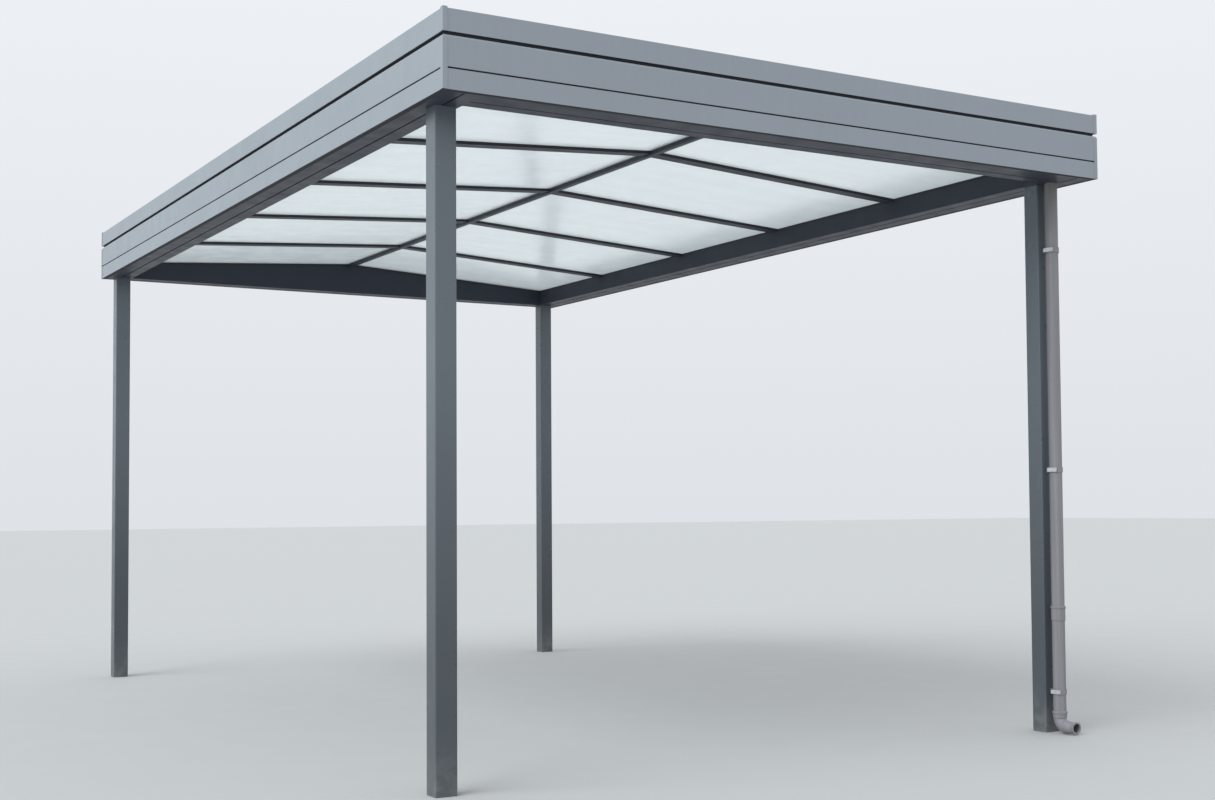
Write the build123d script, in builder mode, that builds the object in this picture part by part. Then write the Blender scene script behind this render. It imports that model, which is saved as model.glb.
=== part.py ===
"""Open carport: four square aluminium posts carry a frame of gutter beams with a two-board fascia all
round. A low gable of milky twin-wall panes lies inside it, on a ridge bar and four pairs of rafters.
A downpipe beside the front right post drains the gutters.

Millimetres. X runs across the entrance, Y from the entrance to the rear, Z up. The origin is on the
ground, below the middle of the roof."""

import math
import os
from build123d import *

# Overall sizes
outer_width = 3000
outer_length = 5000
clear_height = 2340

# Posts, square tubes that stand under the two gutter beams
post_side = 80
post_wall = 3
post_corner_radius = 4
side_overhang = 64
front_overhang = 212
rear_overhang = 30

# Fascia: two boards on each side, mitred at the corners under thin angle trims
fascia_height = 270
fascia_depth = 25
trim_leg = 18
trim_thickness = 1.5
trim_edge_radius = 1.2
board_wall = 2
fine_groove_height = 73
fine_groove_width = 6
fine_groove_depth = 8
lower_board_height = 183
lower_board_roll = 9
tongue_height = 21
tongue_thickness = 12
shadow_gap = 10
cap_height = 6
cap_chamfer = 2

# Perimeter beams: a hollow floor, an inner wall with a seat for the panes, and an outer wall
beam_lip = 8
front_beam_setback = 30
floor_height = 25
floor_skin = 3
soffit_groove_offset = 58
soffit_groove_width = 7
soffit_groove_depth = 8
outer_wall_height = 215
seat_width = 25
end_plate = 3

# Roof
eave_height = 95
ridge_height = 180
pane_thickness = 16
pane_clearance = 1.5
pane_eave_overlap = 60
first_bay = 1030
rafter_pitch = 955
shortest_bay = 150
rafter_width = 60
rafter_depth = 12
rafter_web = 12
rafter_wall = 2.5
ridge_width = 26
ridge_depth = 18
strip_width = 50
strip_thickness = 4
strip_bevel = 3
strip_edge = 1.5
ridge_cap_width = 50
ridge_cap_thickness = 3

# Downpipe beside the front right post
pipe_diameter = 54
pipe_wall = 2
pipe_gap = 14
socket_height = 536
socket_length = 60
socket_wall = 2
bead_height = 12
bead_depth = 2.5
shoe_axis_height = 30
shoe_bend_radius = 36
shoe_reach = 95
shoe_collar_length = 26
mouth_diameter = 46
mouth_bore = 38
mouth_rim = 2
mouth_rim_length = 6
outlet_flange = 8
outlet_flange_thickness = 3
outlet_reach = 25
fit_clearance = 0.3
lowest_clamp = 175
top_clamp_drop = 288
clamp_width = 22
clamp_thickness = 2.5
clamp_ear = 7
clamp_foot_width = 26
clamp_stud_radius = 5
lock_width = 44
lock_height = 17
lock_thickness = 2
lock_turn = 15

# Places worked out from the sizes above
post_x = outer_width / 2 - side_overhang - post_side / 2
front_post_y = -outer_length / 2 + front_overhang + post_side / 2
rear_post_y = outer_length / 2 - rear_overhang - post_side / 2
fascia_back_x = outer_width / 2 - fascia_depth
fascia_back_y = outer_length / 2 - fascia_depth
beam_inner_x = post_x - post_side / 2 - beam_lip
front_beam_y = front_post_y - post_side / 2 - front_beam_setback
rear_beam_y = rear_post_y - post_side / 2
roof_slope = (ridge_height - eave_height) / beam_inner_x
pane_front_y = front_beam_y - seat_width
pane_rear_y = rear_beam_y + seat_width
rafter_count = int((pane_rear_y - pane_front_y - first_bay - shortest_bay) // rafter_pitch) + 1
rafter_ys = [pane_front_y + first_bay + rafter_pitch * i for i in range(rafter_count)]
pipe_radius = pipe_diameter / 2
pipe_y = front_post_y - post_side / 2 - pipe_gap - pipe_radius
top_clamp = clear_height - top_clamp_drop
clamp_heights = (lowest_clamp, (lowest_clamp + top_clamp) // 2, top_clamp)
SIDES = {"left": -1, "right": 1}


def underside(x):
    """Height of the panes' underside at x, on the sloping planes either side of the ridge."""
    return clear_height + ridge_height - abs(x) * roof_slope


def finish(builder, node):
    """Names the finished piece and writes its file."""
    builder.part.label = node
    export_step(builder.part, f"parts/{node}.step")


def slope_band(side, x_from, x_to, below, above):
    """Draws a strip of roof section, between two heights from the panes' underside."""
    with BuildLine() as outline:
        Polyline(
            (side * x_from, underside(x_from) + below),
            (side * x_to, underside(x_to) + below),
            (side * x_to, underside(x_to) + above),
            (side * x_from, underside(x_from) + above),
            close=True,
        )
    make_face(outline.edges())


def across(y):
    """Upright plane across the carport at y. Its normal points to the entrance."""
    return Plane(origin=(0, y, 0), x_dir=(1, 0, 0), z_dir=(0, -1, 0))


os.makedirs("parts", exist_ok=True)

# Posts
for name, side in SIDES.items():
    for end, y in (("front", front_post_y), ("rear", rear_post_y)):
        with BuildPart() as post:
            with BuildSketch(Plane.XY):
                with Locations((side * post_x, y)):
                    RectangleRounded(post_side, post_side, post_corner_radius)
                    Rectangle(post_side - 2 * post_wall, post_side - 2 * post_wall, mode=Mode.SUBTRACT)
            extrude(amount=clear_height)
        finish(post, f"{end}_{name}_post")

# The four sides of the fascia. In each section plane x runs inwards from the boards' face and y up
half_x, half_y = outer_width / 2 - trim_thickness, outer_length / 2 - trim_thickness
SECTIONS = {
    "front": (Plane(origin=(0, -half_y, clear_height), x_dir=(0, 1, 0), z_dir=(1, 0, 0)), half_x),
    "rear": (Plane(origin=(0, half_y, clear_height), x_dir=(0, -1, 0), z_dir=(-1, 0, 0)), half_x),
    "left": (Plane(origin=(-half_x, 0, clear_height), x_dir=(1, 0, 0), z_dir=(0, -1, 0)), half_y),
    "right": (Plane(origin=(half_x, 0, clear_height), x_dir=(-1, 0, 0), z_dir=(0, 1, 0)), half_y),
}
board_depth = fascia_depth - trim_thickness
tongue_top = lower_board_height + tongue_height


def mitre_ends(plane, half_length):
    """Cuts both ends of a board at 45 degrees, with its longer edge outside."""
    for way in (-1, 1):
        corner = plane.origin + plane.z_dir * way * half_length
        split(bisect_by=Plane(origin=corner, z_dir=plane.x_dir + plane.z_dir * way), keep=Keep.BOTTOM)


for name, (plane, half_length) in SECTIONS.items():
    # Lower board: a hollow extrusion with a fine groove, a rolled top edge and a tongue behind the gap
    with BuildPart() as lower_board:
        with BuildSketch(plane):
            with BuildLine():
                Polyline(
                    (0, lower_board_height - lower_board_roll),
                    (0, fine_groove_height + fine_groove_width / 2),
                    (fine_groove_depth, fine_groove_height + fine_groove_width / 2),
                    (fine_groove_depth, fine_groove_height - fine_groove_width / 2),
                    (0, fine_groove_height - fine_groove_width / 2),
                    (0, 0),
                    (board_depth, 0),
                    (board_depth, tongue_top),
                    (board_depth - tongue_thickness, tongue_top),
                    (board_depth - tongue_thickness, lower_board_height),
                    (lower_board_roll, lower_board_height),
                )
                RadiusArc(
                    (0, lower_board_height - lower_board_roll),
                    (lower_board_roll, lower_board_height),
                    lower_board_roll,
                )
            make_face()
            offset(amount=-board_wall, kind=Kind.INTERSECTION, mode=Mode.SUBTRACT)
        extrude(amount=half_length, both=True)
        mitre_ends(plane, half_length)
    finish(lower_board, f"lower_{name}_fascia")

    # Upper board: its sharp lower edge hangs over the gap and it sits on the lower board's tongue
    with BuildPart() as upper_board:
        with BuildSketch(plane):
            with BuildLine():
                Polyline(
                    (0, lower_board_height + shadow_gap),
                    (board_depth - tongue_thickness, tongue_top),
                    (board_depth, tongue_top),
                    (board_depth, fascia_height),
                    (0, fascia_height),
                    close=True,
                )
            make_face()
            offset(amount=-board_wall, kind=Kind.INTERSECTION, mode=Mode.SUBTRACT)
        extrude(amount=half_length, both=True)
        mitre_ends(plane, half_length)
    finish(upper_board, f"upper_{name}_fascia")

# Corner trims: an angle over each board's mitre, so that the gap stays open. The upper one has a raised cap
trim_spans = ((0, lower_board_height - lower_board_roll), (lower_board_height + shadow_gap, fascia_height))
for name, side in SIDES.items():
    for end, way in (("front", -1), ("rear", 1)):
        centre = (side * (outer_width - trim_leg) / 2, way * (outer_length - trim_leg) / 2)
        behind = (centre[0] - side * trim_thickness, centre[1] - way * trim_thickness)
        with BuildPart() as trim:
            for bottom, top in trim_spans:
                with BuildSketch(Plane.XY.offset(clear_height + bottom)) as angle:
                    with Locations(centre):
                        Rectangle(trim_leg, trim_leg)
                    outer_edge = angle.vertices().sort_by(lambda v: side * v.X + way * v.Y)[-1]
                    fillet(outer_edge, trim_edge_radius)
                    with Locations(behind):
                        Rectangle(trim_leg, trim_leg, mode=Mode.SUBTRACT)
                extrude(amount=top - bottom)
            with BuildSketch(Plane.XY.offset(clear_height + fascia_height)):
                with Locations(centre):
                    Rectangle(trim_leg, trim_leg)
            extrude(amount=cap_height)
            chamfer(trim.faces().sort_by(Axis.Z)[-1].edges(), cap_chamfer)
        finish(trim, f"{end}_{name}_corner_trim")


def draw_beam_floor(width):
    """Draws a beam's hollow floor and outer wall, x inwards from the fascia's back, y up from the soffit."""
    groove_x = width - soffit_groove_offset
    with BuildLine() as outline:
        Polyline(
            (0, 0),
            (groove_x - soffit_groove_width, 0),
            (groove_x - soffit_groove_width, soffit_groove_depth),
            (groove_x, soffit_groove_depth),
            (groove_x, 0),
            (width, 0),
            (width, floor_height),
            (floor_skin, floor_height),
            (floor_skin, outer_wall_height),
            (0, outer_wall_height),
            close=True,
        )
    make_face(outline.edges())
    outer_chamber = groove_x - soffit_groove_width - 2 * floor_skin
    inner_chamber = soffit_groove_offset - 2 * floor_skin
    chamber_height = floor_height - 2 * floor_skin
    for start, length in ((floor_skin, outer_chamber), (groove_x + floor_skin, inner_chamber)):
        if length > 0:
            with Locations((start + length / 2, floor_height / 2)):
                Rectangle(length, chamber_height, mode=Mode.SUBTRACT)


# Gutter beams along both sides: the open trough drains to the outlet in the right one
gutter_width = fascia_back_x - beam_inner_x
for name, side in SIDES.items():
    section = SECTIONS[name][0]
    plane = Plane(
        origin=(side * fascia_back_x, 0, clear_height), x_dir=section.x_dir, z_dir=section.z_dir
    )
    with BuildPart() as gutter:
        with BuildSketch(plane):
            draw_beam_floor(gutter_width)
        extrude(amount=fascia_back_y, both=True)
        with BuildSketch(across(0)):
            with BuildLine():
                Polyline(
                    (side * beam_inner_x, clear_height),
                    (side * beam_inner_x, underside(beam_inner_x)),
                    (side * (beam_inner_x + seat_width), underside(beam_inner_x + seat_width)),
                    (side * (beam_inner_x + seat_width), underside(beam_inner_x + seat_width) - floor_skin),
                    (side * (beam_inner_x + floor_skin), underside(beam_inner_x + floor_skin) - floor_skin),
                    (side * (beam_inner_x + floor_skin), clear_height),
                    close=True,
                )
            make_face()
        extrude(amount=fascia_back_y, both=True)
        # plates that close the trough's ends
        plate_height = eave_height - floor_skin
        for way in (-1, 1):
            with Locations((
                side * (beam_inner_x + gutter_width / 2),
                way * (fascia_back_y - end_plate / 2),
                clear_height + plate_height / 2,
            )):
                Box(gutter_width, end_plate, plate_height)
        if name == "right":
            with Locations((post_x, pipe_y, clear_height)):
                Cylinder(pipe_radius - pipe_wall, 4 * floor_height, mode=Mode.SUBTRACT)
    finish(gutter, f"{name}_gutter_beam")

# Front and rear beams between the gutter beams. Their inner wall rises to the low gable
for end, way, inner_y in (("front", 1, front_beam_y), ("rear", -1, rear_beam_y)):
    back_y = -way * fascia_back_y
    section = SECTIONS[end][0]
    plane = Plane(origin=(0, back_y, clear_height), x_dir=section.x_dir, z_dir=section.z_dir)
    with BuildPart() as beam:
        with BuildSketch(plane):
            draw_beam_floor(abs(inner_y - back_y))
        extrude(amount=beam_inner_x, both=True)
        with BuildSketch(across(inner_y)):
            with BuildLine():
                Polyline(
                    (-beam_inner_x, clear_height),
                    (beam_inner_x, clear_height),
                    (beam_inner_x, underside(beam_inner_x)),
                    (0, underside(0)),
                    (-beam_inner_x, underside(beam_inner_x)),
                    close=True,
                )
            make_face()
        extrude(amount=way * floor_skin)
        with BuildSketch(across(inner_y)):
            with BuildLine():
                Polyline(
                    (-beam_inner_x, underside(beam_inner_x)),
                    (0, underside(0)),
                    (beam_inner_x, underside(beam_inner_x)),
                    (beam_inner_x, underside(beam_inner_x) - floor_skin),
                    (0, underside(0) - floor_skin),
                    (-beam_inner_x, underside(beam_inner_x) - floor_skin),
                    close=True,
                )
            make_face()
        extrude(amount=way * seat_width)
    finish(beam, f"{end}_beam")

# Ridge bar: a hollow flange under the panes and a web between them
ridge_under = underside(ridge_width / 2)
with BuildPart() as ridge_bar:
    with BuildSketch(across(front_beam_y)):
        with BuildLine():
            Polyline(
                (-ridge_width / 2, ridge_under - ridge_depth),
                (ridge_width / 2, ridge_under - ridge_depth),
                (ridge_width / 2, ridge_under),
                (0, underside(0)),
                (-ridge_width / 2, ridge_under),
                close=True,
            )
        make_face()
        with Locations((0, ridge_under - ridge_depth / 2)):
            Rectangle(ridge_width - 2 * rafter_wall, ridge_depth - 2 * rafter_wall, mode=Mode.SUBTRACT)
    extrude(amount=front_beam_y - rear_beam_y)
    with BuildSketch(across(pane_front_y)):
        with BuildLine():
            Polyline(
                (-rafter_web / 2, underside(rafter_web / 2)),
                (0, underside(0)),
                (rafter_web / 2, underside(rafter_web / 2)),
                (rafter_web / 2, underside(rafter_web / 2) + pane_thickness),
                (0, underside(0) + pane_thickness),
                (-rafter_web / 2, underside(rafter_web / 2) + pane_thickness),
                close=True,
            )
        make_face()
    extrude(amount=pane_front_y - pane_rear_y)
finish(ridge_bar, "ridge_bar")

# Rafters, in pairs that lean on the ridge bar. Each is a hollow flange with a web between the panes
pane_eave_x = beam_inner_x + pane_eave_overlap
for i, y in enumerate(rafter_ys):
    with BuildPart() as rafters:
        for side in SIDES.values():
            with BuildSketch(across(y)):
                slope_band(side, ridge_width / 2, beam_inner_x, -rafter_depth, 0)
            extrude(amount=rafter_width / 2, both=True)
            with BuildSketch(across(y)):
                slope_band(side, ridge_width / 2, beam_inner_x, rafter_wall - rafter_depth, -rafter_wall)
            extrude(amount=rafter_width / 2 - rafter_wall, both=True, mode=Mode.SUBTRACT)
            with BuildSketch(across(y)):
                slope_band(side, rafter_web / 2, pane_eave_x, 0, pane_thickness)
            extrude(amount=rafter_web / 2, both=True)
    finish(rafters, f"rafter_pair_{i + 1}")

# Panes, five on each slope. The last one is cut to what is left of the length
pane_inner_x = rafter_web / 2 + pane_clearance
half_gap = rafter_web / 2 + pane_clearance
pane_starts = [pane_front_y] + [y + half_gap for y in rafter_ys]
pane_ends = [y - half_gap for y in rafter_ys] + [pane_rear_y]
for name, side in SIDES.items():
    for i, (start, end) in enumerate(zip(pane_starts, pane_ends)):
        with BuildPart() as pane:
            with BuildSketch(across(start)):
                slope_band(side, pane_inner_x, pane_eave_x, 0, pane_thickness)
            extrude(amount=start - end)
        finish(pane, f"{name}_pane_{i + 1}")

# Cover strips on the panes, over each rafter and over both end edges, with bevelled shoulders
half_strip = strip_width / 2
strip_ys = [pane_front_y + half_strip] + rafter_ys + [pane_rear_y - half_strip]
strip_start_x = ridge_cap_width / 2
for name, side in SIDES.items():
    with BuildPart() as strips:
        top_plane = Plane(
            origin=(side * strip_start_x, 0, underside(strip_start_x) + pane_thickness),
            x_dir=(0, side, 0),
            z_dir=(side, 0, -roof_slope),
        )
        strip_length = math.hypot(1, roof_slope) * (pane_eave_x - strip_start_x)
        for y in strip_ys:
            with BuildSketch(top_plane):
                left, right = side * y - half_strip, side * y + half_strip
                with BuildLine():
                    Polyline(
                        (left, 0),
                        (right, 0),
                        (right, strip_edge),
                        (right - strip_bevel, strip_thickness),
                        (left + strip_bevel, strip_thickness),
                        (left, strip_edge),
                        close=True,
                    )
                make_face()
            extrude(amount=strip_length)
    finish(strips, f"{name}_cover_strips")

# Ridge cap, folded over the top edges of both slopes
cap_edge = ridge_cap_width / 2
with BuildPart() as ridge_cap:
    with BuildSketch(across(pane_front_y)):
        with BuildLine():
            Polyline(
                (-cap_edge, underside(cap_edge) + pane_thickness),
                (0, underside(0) + pane_thickness),
                (cap_edge, underside(cap_edge) + pane_thickness),
                (cap_edge, underside(cap_edge) + pane_thickness + ridge_cap_thickness),
                (0, underside(0) + pane_thickness + ridge_cap_thickness),
                (-cap_edge, underside(cap_edge) + pane_thickness + ridge_cap_thickness),
                close=True,
            )
        make_face()
    extrude(amount=pane_front_y - pane_rear_y)
finish(ridge_cap, "ridge_cap")

# Gutter outlet: a spigot through the beam's floor with a flange on the trough's floor
inner_radius = pipe_radius - pipe_wall
spigot_radius = inner_radius - fit_clearance


def draw_ring(outer, inner):
    """Draws the downpipe's ring section round its axis."""
    with Locations((post_x, pipe_y)):
        Circle(outer)
        Circle(inner, mode=Mode.SUBTRACT)


with BuildPart() as outlet:
    with BuildSketch(Plane.XY.offset(clear_height + floor_height)):
        draw_ring(inner_radius + outlet_flange, spigot_radius - pipe_wall)
    extrude(amount=outlet_flange_thickness)
    with BuildSketch(Plane.XY.offset(clear_height + floor_height)):
        draw_ring(spigot_radius, spigot_radius - pipe_wall)
    extrude(amount=-floor_height - outlet_reach)
finish(outlet, "gutter_outlet")

# Downpipe: the upper length ends in the socket of the lower one, and that one in the shoe's collar
socket_floor = socket_height - socket_length
bend_top = shoe_axis_height + shoe_bend_radius
socket_bore = pipe_radius + fit_clearance
socket_radius = socket_bore + socket_wall
pipe_axis = Axis((post_x, pipe_y, 0), (0, 0, 1))
pipe_section = Plane(origin=(post_x, pipe_y, 0), x_dir=(1, 0, 0), z_dir=(0, -1, 0))


def turn(plane, axis, *points):
    """Turns a wall section round an axis. Its points are distances from the axis and along it."""
    with BuildSketch(plane) as section:
        with BuildLine() as outline:
            Polyline(*points, close=True)
        make_face(outline.edges())
    revolve(section.sketch, axis=axis, revolution_arc=360)


def collar(floor, length, *foot):
    """Gives a socket's section: its foot, the wall, a bead round the mouth and the bore down to its floor."""
    top = floor + length
    return (
        *foot,
        (socket_radius, floor),
        (socket_radius, top - bead_height),
        (socket_radius + bead_depth, top - bead_height + bead_depth),
        (socket_radius + bead_depth, top - bead_depth),
        (socket_radius, top),
        (socket_bore, top),
        (socket_bore, floor),
        (inner_radius, floor),
    )


with BuildPart() as upper_pipe:
    with BuildSketch(Plane.XY.offset(socket_floor)):
        draw_ring(pipe_radius, inner_radius)
    extrude(amount=clear_height - socket_floor)
finish(upper_pipe, "upper_downpipe")

with BuildPart() as lower_pipe:
    pipe_foot = bend_top + socket_wall
    foot = (
        (inner_radius, pipe_foot),
        (pipe_radius, pipe_foot),
        (pipe_radius, socket_floor - 2 * socket_wall),
    )
    turn(pipe_section, pipe_axis, *collar(socket_floor, socket_length, *foot))
finish(lower_pipe, "lower_downpipe")

# Shoe: the bend that throws the water forwards, a collar round the pipe above and a narrower, rimmed spout
bend_axis = Axis((post_x, pipe_y - shoe_bend_radius, bend_top), (-1, 0, 0))
spout_axis = Axis((post_x, pipe_y, shoe_axis_height), (0, -1, 0))
spout_section = Plane(origin=(post_x, pipe_y, shoe_axis_height), x_dir=(0, 0, 1), z_dir=(1, 0, 0))
mouth_radius = mouth_diameter / 2
rim_start = shoe_reach - mouth_rim_length
with BuildPart() as shoe:
    with BuildSketch(Plane.XY.offset(bend_top)):
        draw_ring(pipe_radius, inner_radius)
    revolve(axis=bend_axis, revolution_arc=90)
    turn(
        spout_section,
        spout_axis,
        (pipe_radius, shoe_bend_radius),
        (mouth_radius, rim_start),
        (mouth_radius + mouth_rim, rim_start),
        (mouth_radius + mouth_rim, shoe_reach),
        (mouth_bore / 2, shoe_reach),
        (mouth_bore / 2, rim_start),
        (mouth_radius - pipe_wall, rim_start),
        (inner_radius, shoe_bend_radius),
    )
    turn(
        pipe_section,
        pipe_axis,
        *collar(bend_top + socket_wall, shoe_collar_length, (inner_radius, bend_top), (socket_radius, bend_top)),
    )
finish(shoe, "downpipe_shoe")

# Clamps: a ring hinged at an ear, on a stud and a foot plate against the post
ring_inner = pipe_radius + fit_clearance
ring_outer = ring_inner + clamp_thickness
post_face_y = front_post_y - post_side / 2
with BuildPart() as clamps:
    for height in clamp_heights:
        with BuildSketch(Plane.XY.offset(height - clamp_width / 2)):
            with Locations((post_x + ring_outer, pipe_y)):
                Rectangle(2 * clamp_ear, 2 * clamp_thickness)
            with Locations((post_x, pipe_y)):
                Circle(ring_outer)
                Circle(ring_inner, mode=Mode.SUBTRACT)
        extrude(amount=clamp_width)
        foot = Plane(origin=(post_x, post_face_y, height), x_dir=(1, 0, 0), z_dir=(0, -1, 0))
        with BuildSketch(foot):
            RectangleRounded(clamp_foot_width, clamp_width, clamp_thickness)
        extrude(amount=clamp_thickness)
        with BuildSketch(foot):
            Circle(clamp_stud_radius)
        extrude(amount=post_face_y - pipe_y - ring_inner - clamp_thickness / 2)
finish(clamps, "pipe_clamps")

# Locks: a flat plate that closes each ring on the side turned to the passage under the roof
lock_angle = math.radians(lock_turn)
lock_normal = Vector(-math.cos(lock_angle), -math.sin(lock_angle), 0)
with BuildPart() as locks:
    for height in clamp_heights:
        seat = Vector(post_x, pipe_y, height) + lock_normal * (ring_outer + fit_clearance)
        with BuildSketch(Plane(origin=seat, x_dir=(0, 0, 1), z_dir=lock_normal)):
            RectangleRounded(lock_height, lock_width, lock_thickness)
        extrude(amount=lock_thickness)
finish(locks, "clamp_locks")
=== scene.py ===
# %% [markdown]
# # An open carport in powder-coated aluminium
# The object is a flat-topped carport for one car: four square posts, a frame of hollow beams with a
# grooved fascia all round, and a low gable of milky panes lying inside that frame. A downpipe stands
# beside the front right post. The packed model holds every bar and sheet at its real size, so this
# lesson adds what a drawing office leaves out: the finishes, the rubber seals and the screws.

# %% Load the frame
import math
import bmesh
import bpy
import numpy as np
from mathutils import Matrix, Vector


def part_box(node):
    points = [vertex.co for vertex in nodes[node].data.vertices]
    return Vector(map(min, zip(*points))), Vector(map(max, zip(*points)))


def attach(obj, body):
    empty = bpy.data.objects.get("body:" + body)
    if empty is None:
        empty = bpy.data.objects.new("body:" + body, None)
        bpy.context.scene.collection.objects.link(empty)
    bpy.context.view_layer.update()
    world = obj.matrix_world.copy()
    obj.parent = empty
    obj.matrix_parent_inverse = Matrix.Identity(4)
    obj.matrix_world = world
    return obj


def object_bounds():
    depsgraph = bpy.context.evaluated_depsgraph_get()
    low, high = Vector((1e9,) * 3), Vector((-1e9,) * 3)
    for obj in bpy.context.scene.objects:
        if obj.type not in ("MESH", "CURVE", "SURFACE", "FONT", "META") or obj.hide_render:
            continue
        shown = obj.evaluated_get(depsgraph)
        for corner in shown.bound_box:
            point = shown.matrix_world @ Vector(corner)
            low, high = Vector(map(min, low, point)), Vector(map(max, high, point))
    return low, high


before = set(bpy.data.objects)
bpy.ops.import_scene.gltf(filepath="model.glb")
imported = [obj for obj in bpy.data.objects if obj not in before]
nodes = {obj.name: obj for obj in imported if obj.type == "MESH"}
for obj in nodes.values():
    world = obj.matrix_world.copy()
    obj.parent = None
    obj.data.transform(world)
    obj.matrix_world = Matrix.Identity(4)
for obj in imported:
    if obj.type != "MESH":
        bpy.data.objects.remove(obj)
cad_low, cad_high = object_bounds()
print("nodes:", len(nodes), "size in metres:", [round(v, 3) for v in cad_high - cad_low])

# %% [markdown]
# ## The camera
# The photograph was taken standing a little way out from the front left corner, at hip height, with the
# lens tipped up slightly. Place, turn and lens come from the lines of the object itself: its vertical
# posts and the edges of its fascia. The picture was cropped off its middle, which is what the small
# shift stands for. The view is a touch wider than the photograph, so that the whole near post is in it.

# %% Camera
PICTURE_WIDTH = 1215
PICTURE_HEIGHT = 800
CAMERA_PLACE = (-3.609, -7.320, 0.966)
CAMERA_YAW = math.radians(31.23)
CAMERA_PITCH = math.radians(2.46)
CAMERA_ROLL = math.radians(-0.42)
FOCAL_PIXELS = 1612
CENTRE_X = 658
CENTRE_Y = 438
SENSOR_WIDTH = 36
FARTHEST_VIEW = 500


def make_camera():
    """Turns the camera from straight down to level, then by its yaw, pitch and roll."""
    data = bpy.data.cameras.new("photo_view")
    data.sensor_width = SENSOR_WIDTH
    data.lens = FOCAL_PIXELS / PICTURE_WIDTH * SENSOR_WIDTH
    data.shift_x = (PICTURE_WIDTH / 2 - CENTRE_X) / PICTURE_WIDTH
    data.shift_y = (CENTRE_Y - PICTURE_HEIGHT / 2) / PICTURE_WIDTH
    data.clip_end = FARTHEST_VIEW
    camera = bpy.data.objects.new("photo_view", data)
    bpy.context.scene.collection.objects.link(camera)
    camera.matrix_world = (
        Matrix.Translation(CAMERA_PLACE)
        @ Matrix.Rotation(-CAMERA_YAW, 4, "Z")
        @ Matrix.Rotation(math.pi / 2 + CAMERA_PITCH, 4, "X")
        @ Matrix.Rotation(CAMERA_ROLL, 4, "Z")
    )
    bpy.context.scene.camera = camera
    return camera


lens = make_camera().data
print("lens in mm:", round(lens.lens, 1), "shift:", round(lens.shift_x, 3), round(lens.shift_y, 3))

# %% [markdown]
# ## Shader helpers
# Every finish below is one Principled shader. Its colour, roughness and bump are built from a few kinds
# of node again and again: a noise, a mix, a ramp between two values. These short helpers keep each
# material readable.

# %% Shader helpers

# A Mix node has sockets for numbers, for vectors and for colours, all under the same names. These are
# the places of its colour sockets.
MIX_FIRST = 6
MIX_SECOND = 7
MIX_RESULT = 2


class Finish:
    """A new material with one Principled shader, and short ways to add the nodes that feed it."""

    def __init__(self, name, colour, roughness, metallic=0.0, **sockets):
        self.material = bpy.data.materials.new(name)
        self.material.use_nodes = True
        self.tree = self.material.node_tree
        self.shader = self.tree.nodes["Principled BSDF"]
        self.shader.inputs["Base Color"].default_value = (*colour, 1)
        self.shader.inputs["Roughness"].default_value = roughness
        self.shader.inputs["Metallic"].default_value = metallic
        for socket, value in sockets.items():
            self.shader.inputs[socket.replace("_", " ")].default_value = value
        self.place = self.node("ShaderNodeTexCoord").outputs["Object"]

    def node(self, kind, **settings):
        """Adds a node and sets its own settings."""
        made = self.tree.nodes.new(kind)
        for key, value in settings.items():
            setattr(made, key, value)
        return made

    def link(self, source, target):
        """Joins an output to an input, or sets the input where the source is a plain value."""
        if isinstance(source, bpy.types.NodeSocket):
            self.tree.links.new(source, target)
        else:
            target.default_value = source

    def stretched(self, scale):
        """Object coordinates scaled along each axis: a small scale draws a pattern out."""
        mapping = self.node("ShaderNodeMapping")
        self.link(self.place, mapping.inputs["Vector"])
        mapping.inputs["Scale"].default_value = scale
        return mapping.outputs["Vector"]

    def noise(self, scale, detail, place=None):
        """A noise from 0 to 1. Its scale counts features in a metre, and detail adds finer layers."""
        made = self.node("ShaderNodeTexNoise")
        self.link(place or self.place, made.inputs["Vector"])
        made.inputs["Scale"].default_value = scale
        made.inputs["Detail"].default_value = detail
        return made.outputs["Fac"]

    def spread(self, value, low, high, to_low=0.0, to_high=1.0):
        """Maps a value from one range to another, and clamps it."""
        made = self.node("ShaderNodeMapRange")
        names = ("From Min", "From Max", "To Min", "To Max")
        for socket, number in zip(names, (low, high, to_low, to_high)):
            made.inputs[socket].default_value = number
        self.link(value, made.inputs["Value"])
        return made.outputs["Result"]

    def maths(self, operation, first, second=0.0):
        """One sum on one or two values."""
        made = self.node("ShaderNodeMath", operation=operation)
        self.link(first, made.inputs[0])
        self.link(second, made.inputs[1])
        return made.outputs["Value"]

    def axis(self, letter, vector=None):
        """One object coordinate in metres, or the same axis of another vector."""
        made = self.node("ShaderNodeSeparateXYZ")
        self.link(vector or self.place, made.inputs["Vector"])
        return made.outputs[letter]

    def mix(self, share, first, second):
        """A colour between two others."""
        made = self.node("ShaderNodeMix", data_type="RGBA")
        self.link(share, made.inputs["Factor"])
        for index, colour in ((MIX_FIRST, first), (MIX_SECOND, second)):
            plain = not isinstance(colour, bpy.types.NodeSocket)
            self.link((*colour, 1) if plain else colour, made.inputs[index])
        return made.outputs[MIX_RESULT]

    def bump(self, height, distance, strength):
        """Raises the surface by a height of 0 to 1, times a distance in metres."""
        made = self.node("ShaderNodeBump")
        made.inputs["Distance"].default_value = distance
        made.inputs["Strength"].default_value = strength
        self.link(height, made.inputs["Height"])
        self.link(made.outputs["Normal"], self.shader.inputs["Normal"])

    def colour(self, source):
        """Feeds the shader's colour."""
        self.link(source, self.shader.inputs["Base Color"])

    def roughness(self, source):
        """Feeds the shader's roughness."""
        self.link(source, self.shader.inputs["Roughness"])

    def tell(self):
        """Prints what was made, and hands the material over."""
        print("finish:", self.material.name, "nodes:", len(self.tree.nodes))
        return self.material


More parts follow.
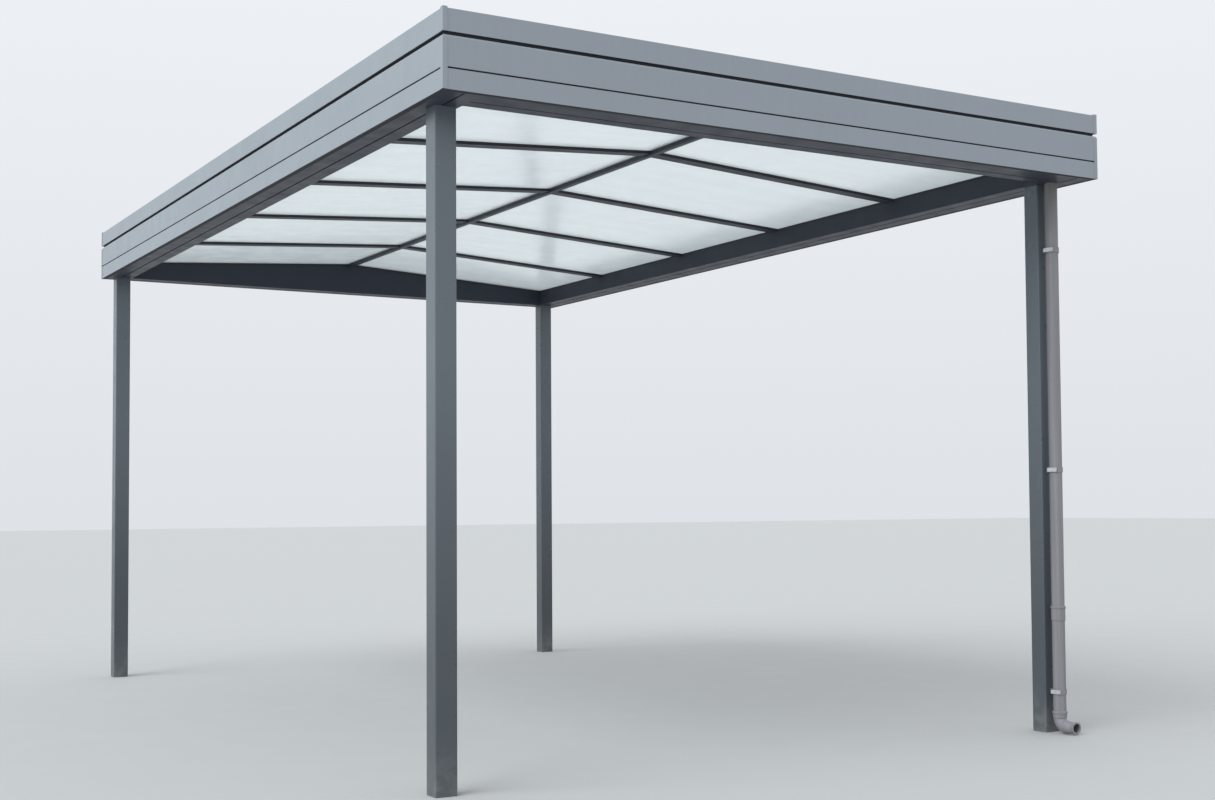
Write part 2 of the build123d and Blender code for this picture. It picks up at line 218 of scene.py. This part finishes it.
def times(colour, factor):
    """A darker or lighter shade of a colour."""
    return [channel * factor for channel in colour]


print("helpers:", ", ".join(name for name in vars(Finish) if not name.startswith("_")))

# %% [markdown]
# ## Powder coat
# The bars are aluminium, sprayed with powder and baked. The coat has a very fine orange peel, which
# breaks up reflections, and after some years outdoors it carries faint dull clouds and thin upright
# runs. The posts are painted darker towards the ground, which is painted shade, with a little pale
# dust round the feet. The inside of the fascia's grooves and its underside are painted near black,
# which is painted shade too. A large noise gives the clouds and a tall stretched one the runs. The
# rest is decided by place: the height above the ground, and the depth behind the fascia's outer faces.

# %% Powder coat
FASCIA_GREY = (0.262, 0.290, 0.318)
# The posts' grey is the fascia's coat made darker and bluer, as painted shade.
SHADED_POST_GREY = (0.110, 0.132, 0.148)
# The beams' grey is that coat made darker and bluer still, as painted shade.
SHADED_BEAM_GREY = (0.041, 0.046, 0.063)
COAT_SHADES = (0.86, 1.16)
PEEL_SCALE = 850
PEEL_HEIGHT = 0.00012
DUST = (0.36, 0.35, 0.33)
DUST_SHARE = 0.22
DUST_HEIGHT = 0.26
DUST_DULLNESS = 0.3
# Painted shade: how far the posts are darkened, and the heights where it is full and where it ends.
GROUND_SHADE_SHARE = 0.50
GROUND_SHADE_HEIGHTS = (0.45, 1.5)
# Near black, painted on as shade: low on the posts, and in the fascia's grooves and underside.
PAINTED_SHADE = (0.018, 0.017, 0.021)
GROOVE_SHADE_SHARE = 0.93
GROOVE_SHADE_ROUGHNESS = 0.9
UNDERSIDE = 2.3405

# Each groove: the heights of its bottom and top, and the depths where its painted shade starts and is
# full.
FINE_GROOVE = (2.405, 2.421, 0.004, 0.007)
SHADOW_GAP = (2.518, 2.538, 0.0095, 0.012)


def painted_groove_shade(finish):
    """Painted shade: 1 below the underside's height, and in each groove's heights behind its depths,
    otherwise 0.

    The depth is the smaller of half the width less |x| and half the length less |y|.
    """
    depths = [
        finish.maths("SUBTRACT", float(half), finish.maths("ABSOLUTE", finish.axis(letter)))
        for letter, half in (("X", cad_high[0]), ("Y", cad_high[1]))
    ]
    depth = finish.maths("MINIMUM", *depths)
    height = finish.axis("Z")
    share = finish.maths("LESS_THAN", height, UNDERSIDE)
    for bottom, top, start, full in (FINE_GROOVE, SHADOW_GAP):
        above = finish.maths("GREATER_THAN", height, bottom)
        inside = finish.maths("MULTIPLY", above, finish.maths("LESS_THAN", height, top))
        groove = finish.maths("MULTIPLY", inside, finish.spread(depth, start, full))
        share = finish.maths("MAXIMUM", share, groove)
    return share


def powder_coat(name, colour, roughness, gloss, grooved=False):
    """A darker to a lighter shade by clouds and runs, with painted shade and dust laid over it by place.
    """
    finish = Finish(name, colour, roughness, IOR=1.5, Specular_IOR_Level=gloss)
    clouds = finish.spread(finish.noise(1.7, 3), 0.3, 0.7, 0.43, 0.57)
    streaks = finish.noise(1.0, 3, finish.stretched((38, 38, 0.9)))
    shade = finish.maths("ADD", clouds, finish.spread(streaks, 0.35, 0.7, 0.0, 0.06))
    coat = finish.mix(shade, *(times(colour, factor) for factor in COAT_SHADES))
    height = finish.axis("Z")
    # Painted shade: the coat is mixed towards near black lower down.
    coat = finish.mix(finish.spread(height, *GROUND_SHADE_HEIGHTS, GROUND_SHADE_SHARE, 0.0), coat, PAINTED_SHADE)
    low_down = finish.maths("POWER", finish.spread(height, 0.0, DUST_HEIGHT, 1.0, 0.0), 2.0)
    splashes = finish.spread(finish.noise(26, 4), 0.42, 0.62, 0.35, 1.35)
    dust = finish.maths("MULTIPLY", low_down, splashes)
    coat = finish.mix(finish.maths("MULTIPLY", dust, DUST_SHARE), coat, DUST)
    patches = finish.spread(finish.noise(9, 3), 0.3, 0.7, roughness - 0.05, roughness + 0.08)
    dullness = finish.maths("ADD", patches, finish.maths("MULTIPLY", dust, DUST_DULLNESS))
    if grooved:
        # Painted shade: the grooves and the underside go near black and dull.
        groove_shade = painted_groove_shade(finish)
        coat = finish.mix(finish.maths("MULTIPLY", groove_shade, GROOVE_SHADE_SHARE), coat, PAINTED_SHADE)
        dullness = finish.maths("MAXIMUM", dullness, finish.maths("MULTIPLY", groove_shade, GROOVE_SHADE_ROUGHNESS))
    finish.colour(coat)
    finish.roughness(dullness)
    finish.bump(finish.noise(PEEL_SCALE, 1), PEEL_HEIGHT, 0.3)
    return finish.tell()


fascia_grey = powder_coat("fascia_powder_coat", FASCIA_GREY, roughness=0.38, gloss=0.4, grooved=True)
# The posts' darker grey is painted shade.
shaded_post_coat = powder_coat("post_coat_painted_shade", SHADED_POST_GREY, roughness=0.30, gloss=0.5)
# The beams' darker grey is painted shade.
shaded_beam_coat = powder_coat("beam_coat_painted_shade", SHADED_BEAM_GREY, roughness=0.45, gloss=0.2)

# %% [markdown]
# ## Milky panes
# The panes are twin-wall sheets: two thin skins with a rib between them every few centimetres, made of
# a milky plastic. Light that falls on top wanders about inside the sheet and comes out underneath, so
# from below the panes glow evenly, while the bars that hold them stay sharp and dark. Glass with a very
# rough surface would pass the light too, but it smears the bars into soft bands. Scattering inside the
# sheet does not, so the shader is all subsurface, reaching a few centimetres. The faces themselves are
# smooth, so they mirror the posts and the beams as soft bands, and look darker far off, where the eye
# meets them at a low angle. Faint streaks run down the slope, along the ribs, and the upper faces are
# greyer, because the weather leaves its dirt there.

# %% Panes
RIB_PITCH = 0.040
RIB_HEIGHT = 0.0003
WAVE_LENGTH = math.pi / 10
PANE_COLOUR = (0.84, 0.895, 0.892)
PANE_SHADE = (0.73, 0.82, 0.805)
PANE_TOP = (0.60, 0.63, 0.64)
PANE_TOP_SHADE = (0.44, 0.47, 0.46)
PANE_DEPTH = 0.08
PANE_REACH = (0.76, 0.84, 0.87)
PANE_IOR = 1.58
PANE_ROUGHNESS = (0.17, 0.25)


def milky_pane():
    """Ribs are a wave across the slope, streaks a noise drawn out down it, and clouds a plain noise.

    A wave texture of scale 1 has a line every WAVE_LENGTH metres.
    """
    finish = Finish(
        "milky_twin_wall", PANE_COLOUR, 0.2, IOR=PANE_IOR, Specular_IOR_Level=0.5,
        Subsurface_Weight=1.0, Subsurface_Scale=PANE_DEPTH, Subsurface_Radius=PANE_REACH,
    )
    streaks = finish.spread(finish.noise(1.0, 3, finish.stretched((0.7, 9, 1))), 0.35, 0.7, 0.0, 0.45)
    clouds = finish.spread(finish.noise(1.3, 3), 0.35, 0.7, 0.0, 0.3)
    ribs = finish.node("ShaderNodeTexWave", bands_direction="Y")
    ribs.inputs["Scale"].default_value = WAVE_LENGTH / RIB_PITCH
    finish.link(finish.place, ribs.inputs["Vector"])
    lines = finish.spread(ribs.outputs["Fac"], 0.86, 1.0, 0.0, 0.2)
    dirt = finish.maths("ADD", finish.maths("ADD", streaks, clouds), lines)
    facing = finish.node("ShaderNodeNewGeometry").outputs["Normal"]
    upper = finish.spread(finish.axis("Z", facing), 0.2, 0.6)
    below = finish.mix(dirt, PANE_COLOUR, PANE_SHADE)
    above = finish.mix(dirt, PANE_TOP, PANE_TOP_SHADE)
    finish.colour(finish.mix(upper, below, above))
    finish.roughness(finish.spread(finish.noise(9, 3), 0.3, 0.7, *PANE_ROUGHNESS))
    finish.bump(ribs.outputs["Fac"], RIB_HEIGHT, 0.3)
    return finish.tell()


pane_white = milky_pane()

# %% [markdown]
# ## Downpipe and zinc
# The downpipe is grey plastic that has weathered to a chalky face, with paler runs and a little green in
# the shade below the roof. The plates that lock its clamps are galvanised, so they shine and show the
# leafy pattern of zinc crystals, which a cell pattern gives.

# %% Downpipe and zinc
PIPE_GREY = (0.200, 0.192, 0.206)
PIPE_CHALK = (0.280, 0.267, 0.280)
PIPE_GREEN = (0.192, 0.196, 0.170)
GREEN_HEIGHTS = (1.7, 2.3)
ZINC = (0.62, 0.63, 0.64)
ZINC_SHADES = (0.86, 1.12)
CRYSTAL_SCALE = 260


def weathered_pipe():
    """Grey, with chalky runs down the pipe and a green cast that comes in towards its top."""
    finish = Finish("weathered_pipe", PIPE_GREY, 0.5)
    runs = finish.spread(finish.noise(1.0, 4, finish.stretched((60, 60, 1.4))), 0.38, 0.68, 0.0, 0.6)
    chalk = finish.mix(runs, PIPE_GREY, PIPE_CHALK)
    patches = finish.spread(finish.noise(7, 4), 0.4, 0.65, 0.0, 0.6)
    moss = finish.maths("MULTIPLY", finish.spread(finish.axis("Z"), *GREEN_HEIGHTS), patches)
    finish.colour(finish.mix(moss, chalk, PIPE_GREEN))
    finish.roughness(finish.spread(finish.noise(14, 3), 0.3, 0.7, 0.42, 0.62))
    finish.bump(finish.noise(300, 2), 0.0002, 0.25)
    return finish.tell()


def galvanised():
    """Bright metal whose crystals each have their own shade."""
    finish = Finish("galvanised_lock", ZINC, 0.4, metallic=1.0)
    crystals = finish.node("ShaderNodeTexVoronoi")
    crystals.inputs["Scale"].default_value = CRYSTAL_SCALE
    finish.link(finish.place, crystals.inputs["Vector"])
    shade = finish.spread(crystals.outputs["Color"], 0.0, 1.0)
    finish.colour(finish.mix(shade, *(times(ZINC, factor) for factor in ZINC_SHADES)))
    finish.roughness(finish.spread(finish.noise(120, 2), 0.3, 0.7, 0.34, 0.52))
    return finish.tell()


pipe_grey = weathered_pipe()
lock_zinc = galvanised()

# %% [markdown]
# ## Give each packed node its finish
# Every bar, pane and pipe is already there with its real shape, so only its material slots change. The
# node's name says what it is. The finish is set on the object and not on its mesh, which stays as packed.

# %% Give each packed node its finish


def finish_for(node):
    """The finish of a packed node, by what it is."""
    if "pane" in node:
        return pane_white
    if "fascia" in node or "trim" in node:
        return fascia_grey
    if "post" in node:
        return shaded_post_coat
    if node == "clamp_locks":
        return lock_zinc
    if "pipe" in node or "outlet" in node:
        return pipe_grey
    # Every other bar takes the beams' darker coat, which is painted shade.
    return shaded_beam_coat


for name, node in nodes.items():
    for slot in node.material_slots:
        slot.link = "OBJECT"
        slot.material = finish_for(name)
for material in (fascia_grey, shaded_post_coat, shaded_beam_coat, pane_white, pipe_grey, lock_zinc):
    print(material.name, "on", sum(finish_for(name) == material for name in nodes), "nodes")

# %% [markdown]
# ## Pieces from profiles
# Seals, closing profiles and screws are all thin pieces with one constant or one turned section. A
# straight run is its section carried from one point to another; a screw head is its section turned
# about an axis. Both are worked out as one array of points, and several runs share one mesh. The
# printed volume is positive when all faces of a closed piece point outwards.

# %% Runs and turned heads
CM3_IN_M3 = 1e6
SQUARE = ((0, 0), (1, 0), (1, 1), (0, 1))


def new_piece(name, points, faces, material, slot=None):
    """Puts arrays of points and faces into a mesh, gives it its finish and lets it ride on the frame."""
    mesh = bpy.data.meshes.new(name)
    mesh.from_pydata(points.tolist(), [], faces)
    mesh.materials.append(material)
    piece = bpy.data.objects.new(name, mesh)
    bpy.context.scene.collection.objects.link(piece)
    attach(piece, "root")
    solid = bmesh.new()
    solid.from_mesh(mesh)
    volume = solid.calc_volume(signed=True)
    solid.free()
    size = np.ptp(points, axis=0).round(3)
    print(name, "faces:", len(faces), "size:", size, "cm3:", round(volume * CM3_IN_M3, 1))


def run(section, start, end, side, up):
    """Carries a closed section of (out, above) from start to end: out along side, above along up.

    Its faces look outwards if the section turns anticlockwise about the run, and else are turned round.
    """
    out, above = np.array(section, float).T
    ring = np.outer(out, side) + np.outer(above, up)
    points = np.concatenate([np.array(start) + ring, np.array(end) + ring])
    here = np.arange(len(section))
    after = np.roll(here, -1)
    walls = np.column_stack([here, after, after + len(here), here + len(here)])
    ends = np.stack([here[::-1], here + len(here)])
    along = np.array(end, float) - np.array(start, float)
    area = np.sum(out * np.roll(above, -1) - np.roll(out, -1) * above)
    if area * np.dot(np.cross(side, up), along) < 0:
        return points, [walls[:, ::-1], ends[:, ::-1]]
    return points, [walls, ends]


def turned(section, place, axis, count):
    """Turns a half section of (radius, height) about an axis through a place, with a count of sides."""
    radius, height = np.array(section, float).T
    axis = np.array(axis, float) / np.linalg.norm(axis)
    lengthwise = abs(axis[1]) > 0.9
    first = np.cross(axis, (1.0, 0.0, 0.0) if lengthwise else (0.0, 1.0, 0.0))
    first /= np.linalg.norm(first)
    second = np.cross(axis, first)
    angle = np.linspace(0, 2 * np.pi, count, endpoint=False)
    spokes = np.outer(np.cos(angle), first) + np.outer(np.sin(angle), second)
    levels = np.outer(height, axis)
    points = np.array(place) + radius[:, None, None] * spokes + levels[:, None, :]
    here = np.arange(len(radius) * count).reshape(len(radius), count)
    after = np.roll(here, -1, axis=1)
    walls = np.stack([here[:-1], after[:-1], after[1:], here[1:]], -1)
    ends = np.stack([here[0, ::-1], here[-1]])
    return points.reshape(-1, 3), [walls.reshape(-1, 4), ends]


def join(parts):
    """Sets several lots of points in one row, and moves each lot's faces on by the points before it."""
    counts = [len(points) for points, blocks in parts]
    offsets = np.cumsum([0] + counts)
    faces = []
    for offset, (points, blocks) in zip(offsets, parts):
        for block in blocks:
            faces += (block + offset).tolist()
    return np.concatenate([points for points, blocks in parts]), faces


bar_points, bar_faces = join([run(SQUARE, (0, 0, 0), (0, 0, 1), (1, 0, 0), (0, 1, 0))])
print("a square run has", len(bar_points), "points and", len(bar_faces), "faces")

# %% [markdown]
# ## Seals under the panes
# The panes lie on black rubber. Only its lip shows: a thin dark line beside every rafter and along the
# frame. Along the ridge the bar's own edge covers it. The lip is one small section, carried along each
# edge just under the sheet.

# %% Rubber seals
RUBBER = (0.018, 0.018, 0.020)
RUBBER_NEW = (0.014, 0.014, 0.016)
RUBBER_CHALKED = (0.035, 0.035, 0.036)
EDGE_REACH = 0.005
SAME_PLACE = 0.0001

# The lip's section: how far out from the bar, and how far above the pane's lower face.
SEAL_SECTION = (
    (0.0002, -0.0001),
    (0.0002, -0.0060),
    (0.0012, -0.0072),
    (0.0026, -0.0070),
    (0.0040, -0.0030),
    (0.0044, -0.0001),
)


def rubber():
    """Black rubber, a little paler where it has chalked."""
    finish = Finish("black_rubber", RUBBER, 0.7)
    chalked = finish.spread(finish.noise(40, 3), 0.4, 0.7)
    finish.colour(finish.mix(chalked, RUBBER_NEW, RUBBER_CHALKED))
    finish.roughness(finish.spread(chalked, 0.0, 1.0, 0.62, 0.82))
    finish.bump(finish.noise(600, 1), 0.0001, 0.4)
    return finish.tell()


def corners(node):
    """All points of a packed node."""
    mesh = nodes[node].data
    points = np.empty(len(mesh.vertices) * 3)
    mesh.vertices.foreach_get("co", points)
    return points.reshape(-1, 3)


pane_points = corners("right_pane_1")
EAVE_X = pane_points[:, 0].max()
RIDGE_X = pane_points[:, 0].min()
EAVE_Z = pane_points[pane_points[:, 0] > EAVE_X - EDGE_REACH, 2].min()
RIDGE_Z = pane_points[pane_points[:, 0] < RIDGE_X + EDGE_REACH, 2].min()
SLOPE = (RIDGE_Z - EAVE_Z) / (EAVE_X - RIDGE_X)
print("the roof rises", round(SLOPE * 1000), "mm in a metre")


def under_pane(x):
    """Height of the panes' lower face at a distance x from the ridge."""
    return EAVE_Z + SLOPE * (EAVE_X - x)


def square_to_roof(side):
    """Direction square to the left (-1) or right (1) half of the roof."""
    return np.array((side * SLOPE, 0, 1)) / math.hypot(SLOPE, 1)


def down_the_roof(side):
    """Direction down the left (-1) or right (1) half of the roof."""
    return np.array((side, 0, -SLOPE)) / math.hypot(SLOPE, 1)


FRAME_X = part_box("right_gutter_beam")[0][0]
FRONT_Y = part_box("front_beam")[1][1]
REAR_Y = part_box("rear_beam")[0][1]
RIDGE_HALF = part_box("ridge_bar")[1][0]
rafters = [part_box(name) for name in sorted(nodes) if name.startswith("rafter_pair")]

# Each spot is the face of a bar along Y, and the way that its lip points.
spots = [(FRONT_Y, 1), (REAR_Y, -1)]
for box_low, box_high in rafters:
    spots += [(box_low[1], -1), (box_high[1], 1)]
seal_runs = []
for side in (-1, 1):
    up = square_to_roof(side)
    for y, way in spots:
        ends = [(side * x, y, under_pane(x)) for x in (RIDGE_HALF, FRAME_X)]
        seal_runs.append(run(SEAL_SECTION, *ends, (0, way, 0), up))
    ends = [(side * FRAME_X, y, under_pane(FRAME_X)) for y in (FRONT_Y, REAR_Y)]
    seal_runs.append(run(SEAL_SECTION, *ends, -down_the_roof(side), up))
new_piece("pane_seals", *join(seal_runs), rubber())

# %% [markdown]
# ## Closing profiles at the eaves
# A twin-wall sheet is open at its lower end, where insects and dust would get in. A thin aluminium
# channel is pushed over that end. It hangs in the gutter, so it shows from above only.

# %% Closing profiles
PANES_ON_SIDE = 5
PANE_THICKNESS = 0.016
CHANNEL_WALL = 0.0012
CHANNEL_LIP = 0.020
CHANNEL_DRIP = 0.003
CHANNEL_GRIP = 0.0002
CHANNEL_END = 0.001


def channel_section():
    """A U on its side round the sheet's end: out down the slope, above the sheet's lower face."""
    wall, lip, sheet = CHANNEL_WALL, CHANNEL_LIP, PANE_THICKNESS
    outside = ((-lip, -wall), (wall, -wall - CHANNEL_DRIP), (wall, sheet + wall), (-lip, sheet + wall))
    inside = ((-lip, sheet), (0, sheet), (0, 0), (-lip, 0))
    return outside + inside


channel_runs = []
for side, half in ((-1, "left"), (1, "right")):
    for number in range(1, PANES_ON_SIDE + 1):
        box_low, box_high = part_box(f"{half}_pane_{number}")
        y_ends = (box_low[1] + CHANNEL_END, box_high[1] - CHANNEL_END)
        ends = [(side * (EAVE_X - CHANNEL_GRIP), y, EAVE_Z) for y in y_ends]
        channel_runs.append(run(channel_section(), *ends, down_the_roof(side), square_to_roof(side)))
# The channels take the beams' darker coat, which is painted shade.
new_piece("eave_channels", *join(channel_runs), shaded_beam_coat, "frame_coat")

# %% [markdown]
# ## Screws
# Cover strips are held by hexagon screws with a rubber-backed washer, one every thirty centimetres or
# so. Only their heads show. Each is a turned washer with a six-sided head on it, its axis square to the
# roof.

# %% Roof screws
STEEL = (0.56, 0.57, 0.58)
STEEL_DARK = (0.50, 0.51, 0.52)
STEEL_PALE = (0.62, 0.63, 0.64)
ROUND = 12
HEXAGON = 6
HEAD_SINK = 0.0001

# Half sections of (radius, height), and the places of a strip's screws, measured from the ridge.
WASHER = ((0.0001, 0), (0.0078, 0), (0.0080, 0.0008), (0.0070, 0.0016), (0.0001, 0.0018))
HEAD = ((0.0001, 0.0016), (0.0046, 0.0016), (0.0046, 0.0054), (0.0040, 0.0060), (0.0001, 0.0060))
SCREWS_ON_STRIP = (0.14, 0.44, 0.74, 1.04, 1.33)

# Points of one strip are closer together than this, along Y.
STRIPS_APART = 0.1


def steel():
    """Stainless steel, with faint clouds in its colour and its gloss."""
    finish = Finish("stainless_steel", STEEL, 0.32, metallic=1.0)
    finish.roughness(finish.spread(finish.noise(220, 3), 0.3, 0.7, 0.24, 0.46))
    clouds = finish.spread(finish.noise(60, 3), 0.35, 0.7)
    finish.colour(finish.mix(clouds, STEEL_DARK, STEEL_PALE))
    return finish.tell()


def strip_rows(points):
    """Middle of each cover strip along Y, from the places where the strips' points gather."""
    y = np.unique(points[:, 1].round(4))
    groups = np.split(y, np.nonzero(np.diff(y) > STRIPS_APART)[0] + 1)
    return [(group.min() + group.max()) / 2 for group in groups]


strip_points = corners("right_cover_strips")
top_at = strip_points[:, 2].max()
top_x = strip_points[strip_points[:, 2] > top_at - SAME_PLACE, 0].min()
screws = []
for side in (-1, 1):
    for y in strip_rows(strip_points):
        for x in SCREWS_ON_STRIP:
            place = (side * x, y, top_at - SLOPE * (x - top_x) - HEAD_SINK)
            for section, count in ((WASHER, ROUND), (HEAD, HEXAGON)):
                screws.append(turned(section, place, square_to_roof(side), count))
steel_grey = steel()
new_piece("roof_screws", *join(screws), steel_grey, "zinc")

# %% [markdown]
# ## Bolts in the pipe clamps
# Each clamp is a ring with an ear where its two halves meet, and a bolt goes through the ear. The head
# is a turned washer face with a hexagon on it; the nut behind is the same piece the other way round.

# %% Clamp bolts
BOLT_FACE = ((0.0001, 0), (0.0040, 0), (0.0040, 0.0006), (0.0001, 0.0007))
BOLT_HEX = ((0.0001, 0.0005), (0.0038, 0.0005), (0.0038, 0.0030), (0.0033, 0.0035), (0.0001, 0.0035))
EAR_HALF = 0.0025
CLAMP_HALF = 0.011
EAR_INSET = 0.0036

# Each ear's outer face has a bottom and a top height, so every second height is a bottom.
clamp_points = corners("pipe_clamps")
ear_x = clamp_points[:, 0].max()
ear_heights = np.unique(clamp_points[clamp_points[:, 0] > ear_x - SAME_PLACE, 2].round(4))
pipe_low, pipe_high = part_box("upper_downpipe")
pipe_y = (pipe_low[1] + pipe_high[1]) / 2
bolts = []
for bottom in ear_heights[::2]:
    for way in (-1, 1):
        place = (ear_x - EAR_INSET, pipe_y + way * EAR_HALF, bottom + CLAMP_HALF)
        for section, count in ((BOLT_FACE, ROUND), (BOLT_HEX, HEXAGON)):
            bolts.append(turned(section, place, (0, way, 0), count))
new_piece("clamp_bolts", *join(bolts), steel_grey, "zinc")

# %% [markdown]
# ## Floor
# The carport stands on a plain pale floor. It only has to catch the soft shade under the roof, so one
# large square is enough.

# %% Floor
FLOOR_SIZE = 160.0
FLOOR_GREY = (0.43, 0.43, 0.43)


def make_floor():
    """One large square at the height of the posts' feet."""
    half = FLOOR_SIZE / 2
    mesh = bpy.data.meshes.new("floor")
    corner_points = [(-half, -half, 0), (half, -half, 0), (half, half, 0), (-half, half, 0)]
    mesh.from_pydata(corner_points, [], [(0, 1, 2, 3)])
    floor = bpy.data.objects.new("floor", mesh)
    bpy.context.scene.collection.objects.link(floor)
    finish = Finish("pale_floor", FLOOR_GREY, 0.85)
    finish.roughness(finish.spread(finish.noise(4, 3), 0.3, 0.7, 0.8, 0.95))
    mesh.materials.append(finish.tell())
    return floor


print("floor side in metres:", round(make_floor().dimensions.x))

# %% [markdown]
# ## Light
# A bright but sunless day lights an open frame from all sides. The sky is palest overhead, which is
# what makes the panes glow from above. A wide, soft sun from the left stands for the brighter half of
# the clouds: it makes the long side lighter than the entrance, and the roof casts a soft shade.

# %% Light
SKY_LOW = (0.74, 0.765, 0.80)
SKY_HIGH = (1.10, 1.135, 1.18)
SUN_STRENGTH = 2.25
SUN_COLOUR = (0.93, 1.01, 1.03)
SUN_ANGLE = math.radians(50)
SUN_FROM = Vector((-1.0, -0.22, 0.85))


def make_sky():
    """Mixes the low and the high colour by the height of the direction that is looked in."""
    world = bpy.data.worlds.new("soft_sky")
    world.use_nodes = True
    tree = world.node_tree
    split = tree.nodes.new("ShaderNodeSeparateXYZ")
    tree.links.new(tree.nodes.new("ShaderNodeTexCoord").outputs["Generated"], split.inputs["Vector"])
    blend = tree.nodes.new("ShaderNodeMix")
    blend.data_type = "RGBA"
    tree.links.new(split.outputs["Z"], blend.inputs["Factor"])
    blend.inputs[MIX_FIRST].default_value = (*SKY_LOW, 1)
    blend.inputs[MIX_SECOND].default_value = (*SKY_HIGH, 1)
    tree.links.new(blend.outputs[MIX_RESULT], tree.nodes["Background"].inputs["Color"])
    bpy.context.scene.world = world


def make_sun():
    """A sun as wide as a bright cloud, turned so that its light comes from SUN_FROM."""
    sun = bpy.data.lights.new("soft_sun", "SUN")
    sun.energy = SUN_STRENGTH
    sun.color = SUN_COLOUR
    sun.angle = SUN_ANGLE
    sun_object = bpy.data.objects.new("soft_sun", sun)
    sun_object.rotation_mode = "QUATERNION"
    sun_object.rotation_quaternion = SUN_FROM.to_track_quat("Z", "Y")
    bpy.context.scene.collection.objects.link(sun_object)


make_sky()
make_sun()
bpy.context.scene.view_settings.view_transform = "Standard"
print("sun's height in degrees:", round(math.degrees(math.asin(SUN_FROM.normalized().z))))

# %% [markdown]
# The dressed carport has to stay inside the box of the packed one.
